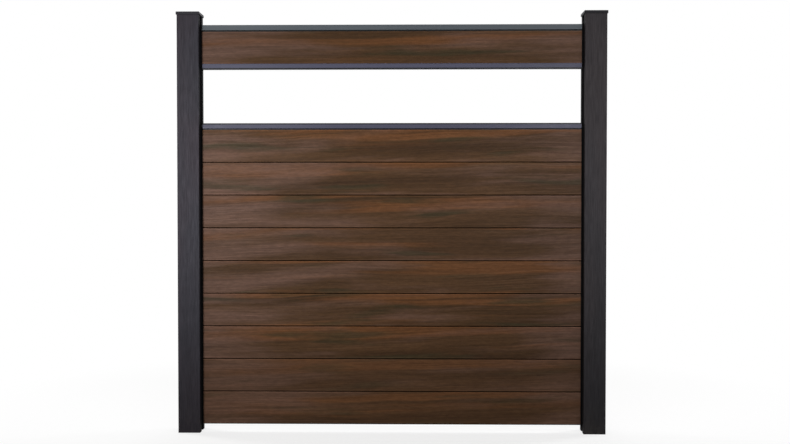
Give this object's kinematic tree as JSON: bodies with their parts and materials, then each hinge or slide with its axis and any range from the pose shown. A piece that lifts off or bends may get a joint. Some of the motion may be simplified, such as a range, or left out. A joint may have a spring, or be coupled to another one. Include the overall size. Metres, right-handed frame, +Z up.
{
  "type": "composite privacy fence panel",
  "caption": "Free-standing composite fence bay: slotted posts with flat caps hold interlocking horizontal boards and metal rails, with an open band under the raised top board.",
  "frame": {"origin": "middle of the left post's foot, on the plane the posts stand on", "axes": "+X along the fence to the right post, the front of the fence faces -Y, +Z up"},
  "size_m": [1.952, 0.108, 1.915],
  "materials": {
    "post": "charcoal composite with a fine upright grain",
    "cap": "charcoal satin paint",
    "channel": "black satin paint",
    "rail": "slate blue-grey satin paint",
    "board": "brown streaked composite with embossed grain"
  },
  "bodies": {
    "root": {"post_left": "post", "post_right": "post", "post_cap_left": "cap", "post_cap_right": "cap", "side_channel_left": "channel", "side_channel_right": "channel", "gap_spacer_left": "channel", "gap_spacer_right": "channel", "top_rail": "rail", "top_board_lower_rail": "rail", "mid_rail": "rail", "top_board": "board", "board_1": "board", "board_2": "board", "board_3": "board", "board_4": "board", "board_5": "board", "board_6": "board", "board_7": "board", "board_8": "board", "board_9": "board"}
  },
  "joints": []
}
